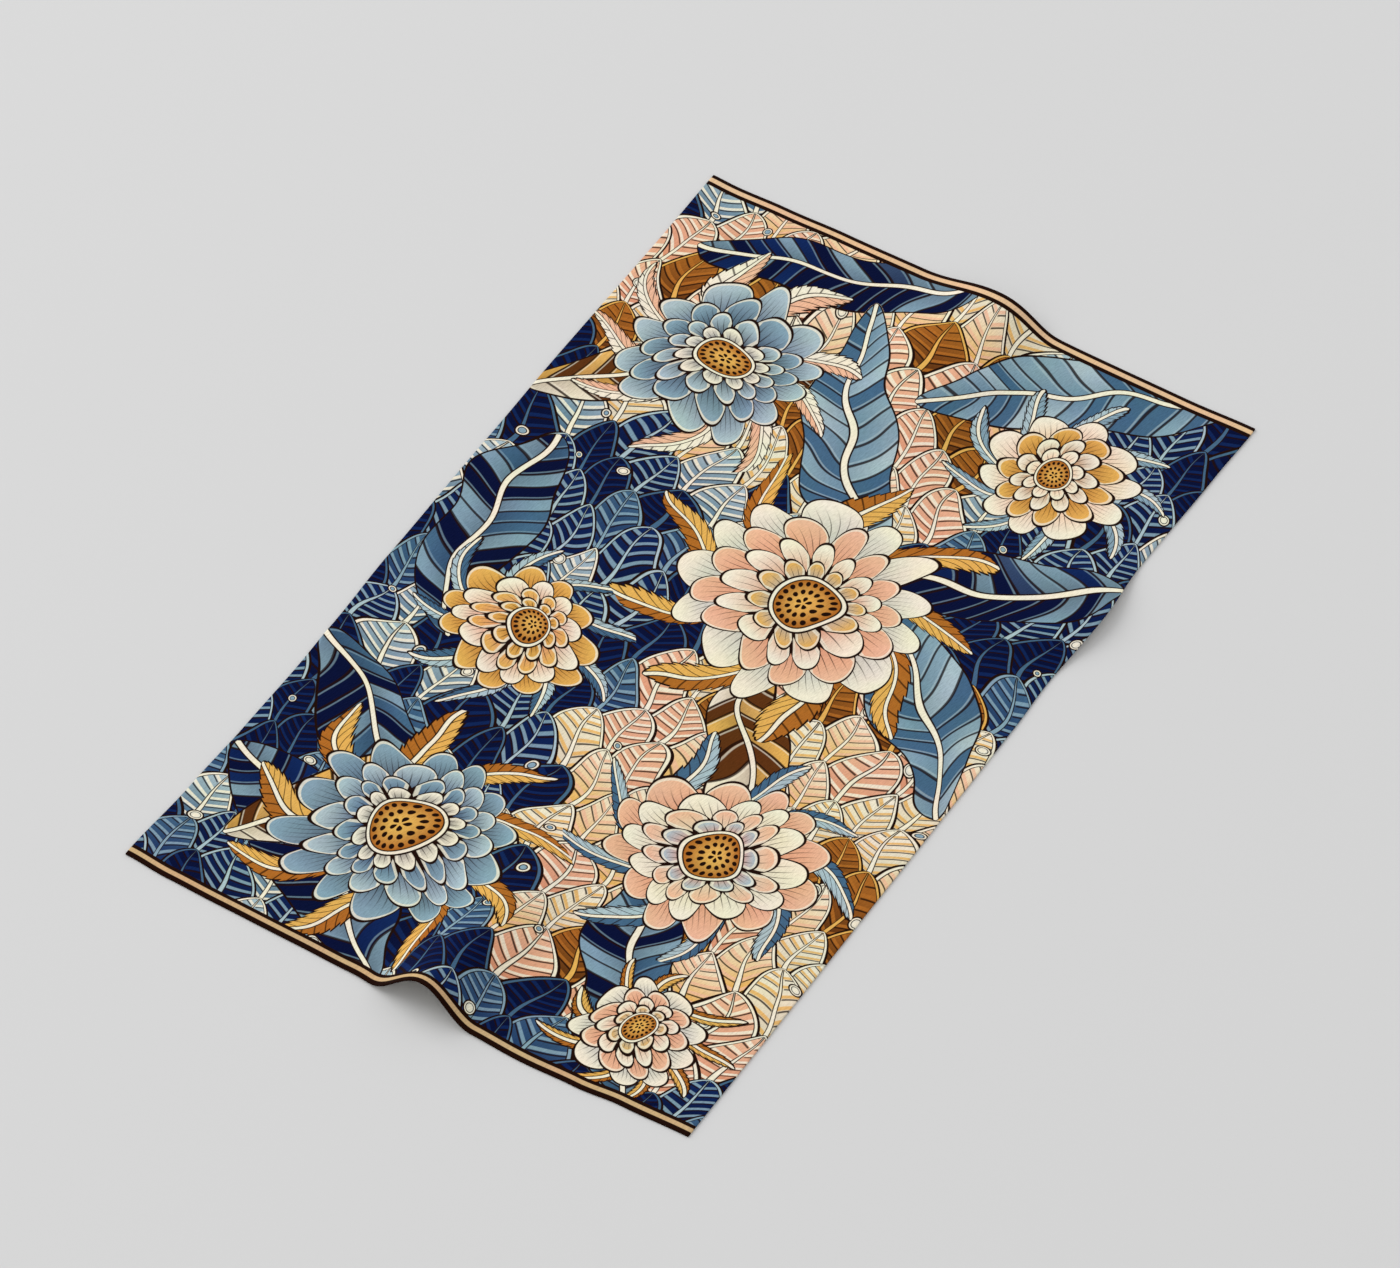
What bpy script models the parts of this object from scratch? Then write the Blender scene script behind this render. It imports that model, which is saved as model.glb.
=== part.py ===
"""Beach towel laid out on a flat surface: one closed sheet of cloth, hems included.

Metres, +Z up. The towel's length runs along Y: the near end is at -Y, the far end at +Y.
The origin is under the middle of the towel, on the surface that it lies on.

The underside is a grid that covers the towel's outline as it lies. Each fold lifts a part
of it off the surface, and a Solidify modifier gives the grid the thickness of the cloth.
"""

import math
from collections import namedtuple

import bmesh
import bpy
from mathutils import Vector

# ---------------------------------------------------------------- driving dimensions

LENGTH = 1.515       # from corner to corner along a long edge, as the towel lies
WIDTH = 0.880        # from corner to corner across an end
THICKNESS = 0.003    # terry cloth, pile included

# Folds that run in from an edge. Their height is greatest at the edge and fades inwards.
# edge: the edge it starts from     at: place of its crest along that edge (X, or Y on a long edge)
# height: lift of the underside     before, after: widths of its two flanks at the edge
# reach: how far in it fades out    lean: sideways drift of the crest over that reach
# spread: how much wider the flanks are where it ends, as a share
Fold = namedtuple("Fold", "edge at height before after reach lean spread")
FOLDS = (
    Fold("near", 0.031, 0.0510, 0.080, 0.078, 0.434, -0.004, 0.60),
    Fold("far", 0.035, 0.0285, 0.130, 0.090, 0.404, -0.008, 0.45),
    Fold("right", 0.325, 0.0150, 0.125, 0.135, 0.270, -0.084, 0.25),
)
FADE_POWER = 1.6     # above 1, so that a fold runs out into the flat cloth without a kink

# The crease left by folding the towel in half: a low, broad ridge from end to end.
CREASE_AT = 0.027
CREASE_HEIGHT = 0.0038
CREASE_FLANK = 0.150

# How far the edges stand out from the straight sides of a rectangle of that size.
# at: place along the edge     out: outwards from that side
Bow = namedtuple("Bow", "at out")
NEAR_BOWS = (
    Bow(-0.440, -0.0005), Bow(-0.370, 0.0040), Bow(-0.290, 0.0055), Bow(-0.170, 0.0065),
    Bow(-0.080, 0.0080), Bow(-0.020, 0.0135), Bow(0.050, 0.0115), Bow(0.110, 0.0110),
    Bow(0.190, 0.0135), Bow(0.270, 0.0105), Bow(0.340, 0.0045), Bow(0.440, 0.0010),
)
FAR_BOWS = (
    Bow(-0.440, 0.0), Bow(-0.400, -0.0015), Bow(-0.320, 0.0015), Bow(-0.220, 0.0050),
    Bow(-0.090, 0.0075), Bow(0.060, -0.0010), Bow(0.140, -0.0060), Bow(0.210, -0.0060),
    Bow(0.330, -0.0055), Bow(0.440, -0.0015),
)
LEFT_BOWS = (
    Bow(-0.7575, 0.0), Bow(-0.600, -0.0065), Bow(-0.480, -0.0095), Bow(-0.360, -0.0105),
    Bow(-0.260, -0.0085), Bow(-0.110, -0.0040), Bow(0.150, -0.0010), Bow(0.340, 0.0010),
    Bow(0.590, 0.0), Bow(0.7575, 0.0015),
)
RIGHT_BOWS = (
    Bow(-0.7575, -0.0005), Bow(-0.480, 0.0), Bow(-0.250, -0.0005), Bow(-0.050, -0.0010),
    Bow(0.090, -0.0015), Bow(0.190, -0.0045), Bow(0.325, 0.0060), Bow(0.450, -0.0055),
    Bow(0.640, -0.0020), Bow(0.7575, 0.0005),
)

# Grid lines of the sheet, close together where the cloth bends most.
Zone = namedtuple("Zone", "start end cells")
ZONES_ACROSS = (
    Zone(-0.440, -0.380, 2), Zone(-0.380, -0.170, 4), Zone(-0.170, -0.050, 6),
    Zone(-0.050, 0.110, 20), Zone(0.110, 0.220, 5), Zone(0.220, 0.400, 5), Zone(0.400, 0.440, 2),
)
ZONES_ALONG = (
    Zone(-0.7575, -0.630, 7), Zone(-0.630, -0.320, 8), Zone(-0.320, 0.140, 5),
    Zone(0.140, 0.500, 12), Zone(0.500, 0.7575, 8),
)

CLOTH_COLOUR = (0.070, 0.130, 0.230, 1.0)
CLOTH_ROUGHNESS = 0.92


# ---------------------------------------------------------------- form of the cloth

def grid_lines(zones):
    """Places of the grid lines over all the zones, each zone cut into equal cells."""
    lines = [zones[0].start]
    for zone in zones:
        pitch = (zone.end - zone.start) / zone.cells
        lines += [zone.start + pitch * (cell + 1) for cell in range(zone.cells)]
    return lines


def bell(share):
    """Cross-section of a fold: 1 on its crest, running out flat where share is -1 or 1."""
    return 0.5 * (1.0 + math.cos(math.pi * max(-1.0, min(1.0, share))))


def edge_bow(bows, at):
    """Outward offset of an edge, eased from one row of its table to the next."""
    for first, last in zip(bows, bows[1:]):
        if at <= last.at:
            share = (at - first.at) / (last.at - first.at)
            return last.out + (first.out - last.out) * bell(max(0.0, share))
    return bows[-1].out


def fold_lift(fold, x, y):
    """Height that one fold gives to a point of the sheet."""
    along, depth = {
        "near": (x, y + LENGTH / 2),
        "far": (x, LENGTH / 2 - y),
        "right": (y, WIDTH / 2 - x),
    }[fold.edge]
    inward = depth / fold.reach
    if inward >= 1.0:
        return 0.0
    from_crest = along - (fold.at + fold.lean * inward)
    flank = fold.before if from_crest < 0.0 else fold.after
    flank *= 1.0 + fold.spread * inward
    return fold.height * (1.0 - inward) ** FADE_POWER * bell(from_crest / flank)


def laid_point(x, y):
    """Where a point of the flat rectangle lies: moved by the outline, lifted by the folds."""
    across = (x + WIDTH / 2) / WIDTH
    along = (y + LENGTH / 2) / LENGTH
    lift = CREASE_HEIGHT * bell((x - CREASE_AT) / CREASE_FLANK)
    lift += sum(fold_lift(fold, x, y) for fold in FOLDS)
    return Vector((
        x + edge_bow(RIGHT_BOWS, y) * across - edge_bow(LEFT_BOWS, y) * (1.0 - across),
        y + edge_bow(FAR_BOWS, x) * along - edge_bow(NEAR_BOWS, x) * (1.0 - along),
        lift,
    ))


# ---------------------------------------------------------------- the towel

def cloth_material():
    material = bpy.data.materials.new("printed_terry")
    material.use_nodes = True
    shader = material.node_tree.nodes["Principled BSDF"]
    shader.inputs["Base Color"].default_value = CLOTH_COLOUR
    shader.inputs["Roughness"].default_value = CLOTH_ROUGHNESS
    shader.inputs["Metallic"].default_value = 0.0
    return material


def towel():
    """One sheet with its hems, its underside resting on the surface around the folds."""
    across = grid_lines(ZONES_ACROSS)
    along = grid_lines(ZONES_ALONG)
    columns, rows = len(across) - 1, len(along) - 1

    sheet = bmesh.new()
    bmesh.ops.create_grid(sheet, x_segments=columns, y_segments=rows, size=0.5)
    for vertex in sheet.verts:
        column = round((vertex.co.x + 0.5) * columns)
        row = round((vertex.co.y + 0.5) * rows)
        vertex.co = laid_point(across[column], along[row])

    # The outline isn't symmetric, so the sheet is centred on its own box.
    for axis in (0, 1):
        places = [vertex.co[axis] for vertex in sheet.verts]
        middle = (min(places) + max(places)) / 2
        for vertex in sheet.verts:
            vertex.co[axis] -= middle

    mesh = bpy.data.meshes.new("towel")
    sheet.to_mesh(mesh)
    sheet.free()
    mesh.materials.append(cloth_material())
    mesh.shade_smooth()

    piece = bpy.data.objects.new("towel", mesh)
    bpy.context.scene.collection.objects.link(piece)
    cloth = piece.modifiers.new("cloth", "SOLIDIFY")
    cloth.thickness = THICKNESS
    cloth.offset = 1.0
    cloth.use_even_offset = True
    return piece


def main():
    for old in list(bpy.data.objects):
        bpy.data.objects.remove(old)
    towel()


main()
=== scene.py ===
# %% [markdown]
# # A beach towel, laid out flat
# The towel is one piece of printed terry cloth, 889 mm wide and 1524 mm long, lying on a floor.
# Its top is sheared to a short velour and carries the print; its back keeps its pale loops.
# It doesn't lie quite flat: a tall fold stands at the near end, a lower one at the far end,
# and the long right-hand edge is lifted a little.
#
# This lesson makes the cloth as a thin sheet, gives it its pile and its print with nodes
# alone, and then sets up the floor, the light and the camera.

import math
from collections import namedtuple

import bmesh
import bpy
from mathutils import Matrix, Vector


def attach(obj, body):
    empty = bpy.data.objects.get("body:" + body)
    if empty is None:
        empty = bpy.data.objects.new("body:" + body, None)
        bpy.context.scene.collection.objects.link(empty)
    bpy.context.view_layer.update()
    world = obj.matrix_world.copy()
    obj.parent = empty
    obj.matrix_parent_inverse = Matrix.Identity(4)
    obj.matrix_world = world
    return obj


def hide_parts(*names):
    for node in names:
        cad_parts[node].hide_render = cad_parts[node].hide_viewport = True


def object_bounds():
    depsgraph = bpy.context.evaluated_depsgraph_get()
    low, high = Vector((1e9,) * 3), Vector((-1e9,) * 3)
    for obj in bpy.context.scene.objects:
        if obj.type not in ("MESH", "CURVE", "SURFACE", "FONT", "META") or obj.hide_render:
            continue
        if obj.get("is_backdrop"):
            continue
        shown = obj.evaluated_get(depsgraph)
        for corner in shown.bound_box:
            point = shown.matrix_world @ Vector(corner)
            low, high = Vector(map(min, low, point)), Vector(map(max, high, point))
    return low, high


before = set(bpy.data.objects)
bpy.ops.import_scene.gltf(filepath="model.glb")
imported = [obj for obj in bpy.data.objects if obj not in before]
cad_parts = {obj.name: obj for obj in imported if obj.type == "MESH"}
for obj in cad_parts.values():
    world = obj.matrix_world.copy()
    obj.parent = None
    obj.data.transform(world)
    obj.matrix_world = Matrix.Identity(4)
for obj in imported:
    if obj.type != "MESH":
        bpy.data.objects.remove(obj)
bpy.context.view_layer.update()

# %% [markdown]
# ## How the cloth lies
# A laid-out towel is a rectangle that has been moved a little everywhere: its edges bow in and
# out, and its folds lift it off the floor. It could be draped with Blender's cloth simulation,
# but the folds here have known places and heights, so a few short tables are surer. Each fold
# is a bell-shaped ridge that is highest at its edge and fades out inwards.

# %% Sizes of the towel and of its folds
LENGTH = 1.515       # metres from corner to corner along a long edge, as the towel lies
WIDTH = 0.880        # from corner to corner across an end
THICKNESS = 0.003    # the cloth with its pile
CUT_WIDTH = 0.889    # the flat towel, as it was cut and hemmed
CUT_LENGTH = 1.524

# edge: the edge it starts from     at: place of its crest along that edge (X, or Y on a long edge)
# height: lift of the underside     before, after: widths of its two flanks at the edge
# reach: how far in it fades out    lean: sideways drift of the crest over that reach
# spread: how much wider the flanks are where it ends, as a share
Fold = namedtuple("Fold", "edge at height before after reach lean spread")
FOLDS = (
    Fold("near", 0.031, 0.0510, 0.080, 0.078, 0.434, -0.004, 0.60),
    Fold("far", 0.035, 0.0285, 0.130, 0.090, 0.404, -0.008, 0.45),
    Fold("right", 0.325, 0.0150, 0.125, 0.135, 0.270, -0.084, 0.25),
)
FADE_POWER = 1.6     # above 1, so that a fold runs out into the flat cloth without a kink

# The crease left by folding the towel in half: a low, broad ridge from end to end.
CREASE_AT = 0.027
CREASE_HEIGHT = 0.0038
CREASE_FLANK = 0.150

# How far the edges stand out from the straight sides of a rectangle of that size.
Bow = namedtuple("Bow", "at out")
NEAR_BOWS = (
    Bow(-0.440, -0.0005), Bow(-0.370, 0.0040), Bow(-0.290, 0.0055), Bow(-0.170, 0.0065),
    Bow(-0.080, 0.0080), Bow(-0.020, 0.0135), Bow(0.050, 0.0115), Bow(0.110, 0.0110),
    Bow(0.190, 0.0135), Bow(0.270, 0.0105), Bow(0.340, 0.0045), Bow(0.440, 0.0010),
)
FAR_BOWS = (
    Bow(-0.440, 0.0), Bow(-0.400, -0.0015), Bow(-0.320, 0.0015), Bow(-0.220, 0.0050),
    Bow(-0.090, 0.0075), Bow(0.060, -0.0010), Bow(0.140, -0.0060), Bow(0.210, -0.0060),
    Bow(0.330, -0.0055), Bow(0.440, -0.0015),
)
LEFT_BOWS = (
    Bow(-0.7575, 0.0), Bow(-0.600, -0.0065), Bow(-0.480, -0.0095), Bow(-0.360, -0.0105),
    Bow(-0.260, -0.0085), Bow(-0.110, -0.0040), Bow(0.150, -0.0010), Bow(0.340, 0.0010),
    Bow(0.590, 0.0), Bow(0.7575, 0.0015),
)
RIGHT_BOWS = (
    Bow(-0.7575, -0.0005), Bow(-0.480, 0.0), Bow(-0.250, -0.0005), Bow(-0.050, -0.0010),
    Bow(0.090, -0.0015), Bow(0.190, -0.0045), Bow(0.325, 0.0060), Bow(0.450, -0.0055),
    Bow(0.640, -0.0020), Bow(0.7575, 0.0005),
)


# %% Where a point of the towel comes to lie
def bell(share):
    """Cross-section of a fold: 1 on its crest, running out flat where share is -1 or 1."""
    return 0.5 * (1.0 + math.cos(math.pi * max(-1.0, min(1.0, share))))


def edge_bow(bows, at):
    """Outward offset of an edge, eased from one row of its table to the next."""
    for first, last in zip(bows, bows[1:]):
        if at <= last.at:
            share = (at - first.at) / (last.at - first.at)
            return last.out + (first.out - last.out) * bell(max(0.0, share))
    return bows[-1].out


def fold_lift(fold, x, y):
    """Height that one fold gives to a point of the sheet."""
    along, depth = {
        "near": (x, y + LENGTH / 2),
        "far": (x, LENGTH / 2 - y),
        "right": (y, WIDTH / 2 - x),
    }[fold.edge]
    inward = depth / fold.reach
    if inward >= 1.0:
        return 0.0
    from_crest = along - (fold.at + fold.lean * inward)
    flank = fold.before if from_crest < 0.0 else fold.after
    flank *= 1.0 + fold.spread * inward
    return fold.height * (1.0 - inward) ** FADE_POWER * bell(from_crest / flank)


def laid_point(x, y):
    """Where a point of the flat rectangle lies: moved by the outline, lifted by the folds."""
    across = (x + WIDTH / 2) / WIDTH
    along = (y + LENGTH / 2) / LENGTH
    lift = CREASE_HEIGHT * bell((x - CREASE_AT) / CREASE_FLANK)
    lift += sum(fold_lift(fold, x, y) for fold in FOLDS)
    return Vector((
        x + edge_bow(RIGHT_BOWS, y) * across - edge_bow(LEFT_BOWS, y) * (1.0 - across),
        y + edge_bow(FAR_BOWS, x) * along - edge_bow(NEAR_BOWS, x) * (1.0 - along),
        lift,
    ))


near_crest = laid_point(FOLDS[0].at, -LENGTH / 2)
print(f"near fold: its crest stands {near_crest.z * 1000:.1f} mm off the floor")

# %% [markdown]
# ## The sheet
# A grid of cells about 6 mm wide is fine enough to bend smoothly over the folds. Every vertex
# gets its place from the tables above. The print has to follow the cloth, not the floor, so
# each vertex also keeps where it is on the flat towel: how far along its row and its column
# the cloth has run, measured over the folds. That goes into a UV map, in metres.
#
# The thickness comes from a Solidify modifier, and a small Bevel rounds the sheared edge, so
# both can still be changed. The faces made from the grid are the velour top, the copied ones
# the looped back.

# %% Make the sheet
COLUMNS = 146
ROWS = 250
EDGE_ROUNDING = 0.0011                 # metres
EDGE_SEGMENTS = 2
EDGE_TURN = math.radians(60.0)         # only edges sharper than this are rounded


def run_along(places, cut):
    """How far the cloth has run at each place of a row, from -cut/2 to cut/2."""
    runs = [0.0]
    for last, place in zip(places, places[1:]):
        runs.append(runs[-1] + (place - last).length)
    return [(run / runs[-1] - 0.5) * cut for run in runs]


sheet = bmesh.new()
bmesh.ops.create_grid(sheet, x_segments=COLUMNS, y_segments=ROWS, size=0.5)
lattice = {}
for vertex in sheet.verts:
    column = round((vertex.co.x + 0.5) * COLUMNS)
    row = round((vertex.co.y + 0.5) * ROWS)
    vertex.co = laid_point((column / COLUMNS - 0.5) * WIDTH, (row / ROWS - 0.5) * LENGTH)
    lattice[column, row] = vertex

# The outline isn't symmetric, so the sheet is centred on its own box, as its solid is.
for axis in (0, 1):
    places = [vertex.co[axis] for vertex in sheet.verts]
    shift = Vector()
    shift[axis] = -(min(places) + max(places)) / 2
    bmesh.ops.translate(sheet, verts=sheet.verts, vec=shift)

flat_place = {}
for row in range(ROWS + 1):
    strip = [lattice[column, row] for column in range(COLUMNS + 1)]
    for vertex, run in zip(strip, run_along([vertex.co for vertex in strip], CUT_WIDTH)):
        flat_place[vertex] = [run, 0.0]
for column in range(COLUMNS + 1):
    strip = [lattice[column, row] for row in range(ROWS + 1)]
    for vertex, run in zip(strip, run_along([vertex.co for vertex in strip], CUT_LENGTH)):
        flat_place[vertex][1] = run

cloth_map = sheet.loops.layers.uv.new("cloth")
for face in sheet.faces:
    for loop in face.loops:
        loop[cloth_map].uv = flat_place[loop.vert]

cloth_mesh = bpy.data.meshes.new("towel_sheet")
sheet.to_mesh(cloth_mesh)
sheet.free()
cloth_mesh.shade_smooth()

towel = bpy.data.objects.new("towel_sheet", cloth_mesh)
bpy.context.scene.collection.objects.link(towel)

cloth = towel.modifiers.new("cloth", "SOLIDIFY")
cloth.thickness = THICKNESS
cloth.offset = 1.0
cloth.use_even_offset = True
cloth.material_offset = 1

rounding = towel.modifiers.new("sheared_edge", "BEVEL")
rounding.affect = "EDGES"
rounding.width = EDGE_ROUNDING
rounding.segments = EDGE_SEGMENTS
rounding.limit_method = "ANGLE"
rounding.angle_limit = EDGE_TURN
rounding.use_clamp_overlap = True
print(f"sheet: {COLUMNS} by {ROWS} cells, {len(cloth_mesh.vertices)} vertices on its top")

# %% [markdown]
# ## Writing a finish as arithmetic
# A print could be painted on an image, but an image has to go along with the file, and it blurs
# when one looks closely. Here the print is worked out at every point instead, from where the
# point is on the flat cloth. That takes many small nodes, so they are written as Python
# expressions: a `Strand` stands for one output of a node, and arithmetic on it adds Math nodes.
# Everything else, such as a noise or a ramp, comes from `Finish.node`.

# %% A finish and its strands
class Strand:
    """One output of a node. Arithmetic on strands that are numbers adds Math nodes."""

    def __init__(self, finish, socket):
        self.finish = finish
        self.socket = socket

    def part(self, name):
        """Another output of the same node."""
        return Strand(self.finish, self.socket.node.outputs[name])

    def math(self, operation, *others):
        sockets = dict(enumerate((self, *others)))
        return self.finish.node("ShaderNodeMath", {"operation": operation}, sockets)

    def __add__(self, other):
        return self.math("ADD", other)

    def __sub__(self, other):
        return self.math("SUBTRACT", other)

    def __rsub__(self, other):
        sockets = {0: other, 1: self}
        return self.finish.node("ShaderNodeMath", {"operation": "SUBTRACT"}, sockets)

    def __mul__(self, other):
        return self.math("MULTIPLY", other)

    def __truediv__(self, other):
        return self.math("DIVIDE", other)

    def __pow__(self, other):
        return self.math("POWER", other)

    def __abs__(self):
        return self.math("ABSOLUTE")

    __radd__ = __add__
    __rmul__ = __mul__


class Finish:
    """A material, and the one method that adds nodes to it."""

    def __init__(self, name, **constants):
        self.material = bpy.data.materials.new(name)
        self.material.use_nodes = True
        self.tree = self.material.node_tree
        self.shader = self.tree.nodes["Principled BSDF"]
        for socket, value in constants.items():
            self.feed(self.shader.inputs[socket.replace("_", " ")], value)

    def feed(self, socket, value):
        """Link a strand to a socket, or set the socket to a plain value."""
        if isinstance(value, Strand):
            self.tree.links.new(value.socket, socket)
        elif socket.type == "RGBA":
            socket.default_value = (*value, 1.0)
        else:
            socket.default_value = value

    def node(self, kind, settings, sockets, output=0):
        """Add a node: first its settings, then its sockets. Gives the strand of one output."""
        made = self.tree.nodes.new(kind)
        for name, value in settings.items():
            if name == "stops":
                while len(made.color_ramp.elements) < len(value):
                    made.color_ramp.elements.new(1.0)
                for element, (at, colour) in zip(made.color_ramp.elements, value):
                    element.position = at
                    element.color = (*colour, 1.0)
            elif name == "interpolation":
                made.color_ramp.interpolation = value
            else:
                setattr(made, name, value)
        for name, value in sockets.items():
            self.feed(made.inputs[name], value)
        return Strand(self, made.outputs[output])


# %% [markdown]
# A drawn shape comes down to one number: how far a point is inside its outline, in metres.
# `over` and `under` turn that into a mask with an edge as soft as dye on pile, and `paint`
# lays a colour through the mask. Outlines, veins and rims are all such masks. Where many
# shapes of one kind overlap, `choose` first picks the shape that a point belongs to, so that
# the nodes that colour a shape are needed only once for all of them.

# %% Masks, colours and choices
SOFT_EDGE = 0.0009   # how far dye spreads in the pile, metres
FULL_TURN = 2 * math.pi

# The Mix node has sockets of its own for each kind of value: its setting, the numbers of its
# two inputs, and the number of its output.
MIX_VECTOR = {"data_type": "VECTOR"}, (4, 5), 1
MIX_COLOUR = {"data_type": "RGBA"}, (6, 7), 2


def over(number, edge, soft=SOFT_EDGE):
    """0 below an edge and 1 above it, with a soft step between."""
    return number.finish.node(
        "ShaderNodeMapRange", {"interpolation_type": "SMOOTHSTEP"},
        {"Value": number, "From Min": edge - soft / 2, "From Max": edge + soft / 2},
    )


def under(number, edge, soft=SOFT_EDGE):
    """1 below an edge and 0 above it."""
    return number.finish.node(
        "ShaderNodeMapRange", {"interpolation_type": "SMOOTHSTEP"},
        {"Value": number, "From Min": edge - soft / 2, "From Max": edge + soft / 2,
         "To Min": 1.0, "To Max": 0.0},
    )


def line(number, at, half, soft=SOFT_EDGE):
    """A line along which a number has one value."""
    return under(abs(number - at), half, soft)


def between(number, low, high):
    """Runs evenly from 0 at one value to 1 at another."""
    return number.finish.node(
        "ShaderNodeMapRange", {}, {"Value": number, "From Min": low, "From Max": high},
    )


def mix(mask, first, last, way):
    settings, (one, other), output = way
    return mask.finish.node("ShaderNodeMix", settings, {0: mask, one: first, other: last}, output)


def paint(ground, colour, mask):
    """A colour laid over a ground wherever the mask is 1."""
    return mix(mask, ground, colour, MIX_COLOUR)


def choose(mask, first, last):
    """The first place where the mask is 0, the last where it is 1."""
    return mix(mask, first, last, MIX_VECTOR)


def stops(key, places, colours):
    """One colour for each stretch of a key that runs from 0 to 1."""
    return key.finish.node(
        "ShaderNodeValToRGB",
        {"interpolation": "CONSTANT", "stops": list(zip(places, colours))}, {"Fac": key},
    )


def tint(colour, strength):
    """A colour made lighter or darker."""
    return colour.finish.node(
        "ShaderNodeVectorMath", {"operation": "SCALE"}, {"Vector": colour, "Scale": strength},
    )


# %% Places on the cloth
def moved(place, scale, shift):
    """A place, scaled and then shifted."""
    return place.finish.node(
        "ShaderNodeVectorMath", {"operation": "MULTIPLY_ADD"}, {0: place, 1: scale, 2: shift},
    )


def run_in(place, way):
    """How far a place lies in one direction."""
    return place.finish.node(
        "ShaderNodeVectorMath", {"operation": "DOT_PRODUCT"}, {0: place, 1: way}, "Value",
    )


def joined(x, y, z=0.0):
    return x.finish.node("ShaderNodeCombineXYZ", {}, {"X": x, "Y": y, "Z": z})


def parted(place):
    x = place.finish.node("ShaderNodeSeparateXYZ", {}, {"Vector": place})
    return x, x.part("Y"), x.part("Z")


def noise(place, scale, detail=0.0, output=0):
    """Soft unevenness, with `scale` lumps to the metre."""
    return place.finish.node(
        "ShaderNodeTexNoise", {"noise_dimensions": "2D"},
        {"Vector": place, "Scale": scale, "Detail": detail}, output,
    )


def chance(place):
    """A number from 0 to 1 that has nothing to do with its neighbours'."""
    return place.finish.node(
        "ShaderNodeTexWhiteNoise", {"noise_dimensions": "2D"}, {"Vector": place},
    )


# %% [markdown]
# ## The dyes
# The print is drawn in a brown-black ink and filled with dyes from navy to pale blue, and from
# cream to gold and rust. Each is given as the colour it looks in the room, 0 to 255; a shader
# needs the share of light it gives back, so `dye` undoes the screen's curve and allows for
# how bright the room is.

# %% Ink and dyes
ROOM_BRIGHTNESS = 1.10
MOST_LIGHT = 0.90    # even clean cotton gives back no more
SCREEN_OFFSET = 0.055
SCREEN_POWER = 2.4


def dye(red, green, blue):
    """The share of each kind of light that a dye gives back."""
    shares = []
    for value in (red, green, blue):
        light = ((value / 255 + SCREEN_OFFSET) / (1 + SCREEN_OFFSET)) ** SCREEN_POWER
        shares.append(min(MOST_LIGHT, light / ROOM_BRIGHTNESS))
    return tuple(shares)


INK = dye(30, 11, 4)
NAVY = dye(4, 14, 52)
DEEP = dye(14, 38, 88)
SLATE = dye(68, 102, 130)
STEEL = dye(132, 161, 175)
MIST = dye(170, 191, 196)
CREAM = dye(240, 232, 208)
SAND = dye(220, 207, 178)
PEACH = dye(234, 184, 150)
ROSE = dye(214, 146, 112)
GOLD = dye(226, 174, 88)
RUST = dye(172, 104, 38)
BROWN = dye(92, 50, 18)
STONE = dye(170, 172, 168)
INK_LINE = 0.0036    # width of a drawn outline, metres
print("ink gives back", [round(share, 4) for share in INK])

# %% [markdown]
# ## The print: where things are
# The velour takes its place from the UV map. Before anything is drawn, that place is pushed
# about by up to 25 mm with a slow noise, so that every line runs as if drawn by hand.

# %% Start the velour
HAND_REACH = 0.050   # metres, from one end of the push to the other
HAND_LUMPS = 8.0     # to the metre

velour = Finish(
    "printed_velour",
    Roughness=0.95, Specular_IOR_Level=0.03, Sheen_Weight=0.02, Sheen_Roughness=0.4,
)
flat_cloth = velour.node("ShaderNodeUVMap", {"uv_map": "cloth"}, {})
push = moved(
    noise(flat_cloth, HAND_LUMPS, output="Color"),
    (HAND_REACH, HAND_REACH, 0.0), (-HAND_REACH / 2, -HAND_REACH / 2, 0.0),
)
drawn = velour.node("ShaderNodeVectorMath", {"operation": "ADD"}, {0: flat_cloth, 1: push})
print(f"hand: {len(velour.tree.nodes)} nodes so far")

# %% [markdown]
# ## The ground of overlapping leaves
# Behind the blossoms the whole cloth is filled with rows of short pointed leaves that overlap
# like roof tiles, an old filling pattern. A tile fills its row's pitch and is over twice as
# tall as the row, so a point can lie under up to three tiles. It belongs to the lowest row
# whose tile covers it. Two broad patches of the ground are warm, the rest is blue.

# %% Rows of leaf tiles
LEAF_FULLNESS = 0.62     # the power that rounds a leaf's outline; smaller is blunter
TILE_PITCH = 0.104       # metres from one tile to the next in a row
TILE_ROW = 0.052         # from row to row
TILE_HEIGHT = 0.118      # from a tile's foot to its point
TILE_HALF_WIDTH = TILE_PITCH * 0.52
TILE_ROWS_BELOW = 3      # so many rows can reach a point

Patch = namedtuple("Patch", "x y wide tall")
WARM_PATCHES = (Patch(0.24, -0.36, 0.36, 0.40), Patch(-0.20, 0.48, 0.36, 0.26))
PATCH_UNEVENNESS = 0.8
PATCH_LUMPS = 7.0        # to the metre


def covering_tile(place):
    """The tile that a place belongs to: where the place is in it, and where its foot is."""
    x, y, _ = parted(place)
    for rows_below in range(TILE_ROWS_BELOW):
        row = (y / TILE_ROW).math("FLOOR") - rows_below
        shift = (row * 0.5).math("FRACT")     # every other row is shifted by half a pitch
        column = (x / TILE_PITCH - shift).math("FLOOR")
        foot = joined((column + shift) * TILE_PITCH, row * TILE_ROW)
        side = x - (column + shift + 0.5) * TILE_PITCH
        rise = (y - row * TILE_ROW) / TILE_HEIGHT
        inside = (1 - rise * rise) ** LEAF_FULLNESS * TILE_HALF_WIDTH - abs(side)
        spot = joined(side, rise, inside)
        if rows_below == 0:
            tile, tile_foot = spot, foot
        else:
            covered = inside.math("GREATER_THAN", 0.0)
            tile, tile_foot = choose(covered, tile, spot), choose(covered, tile_foot, foot)
    return tile, tile_foot


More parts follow.
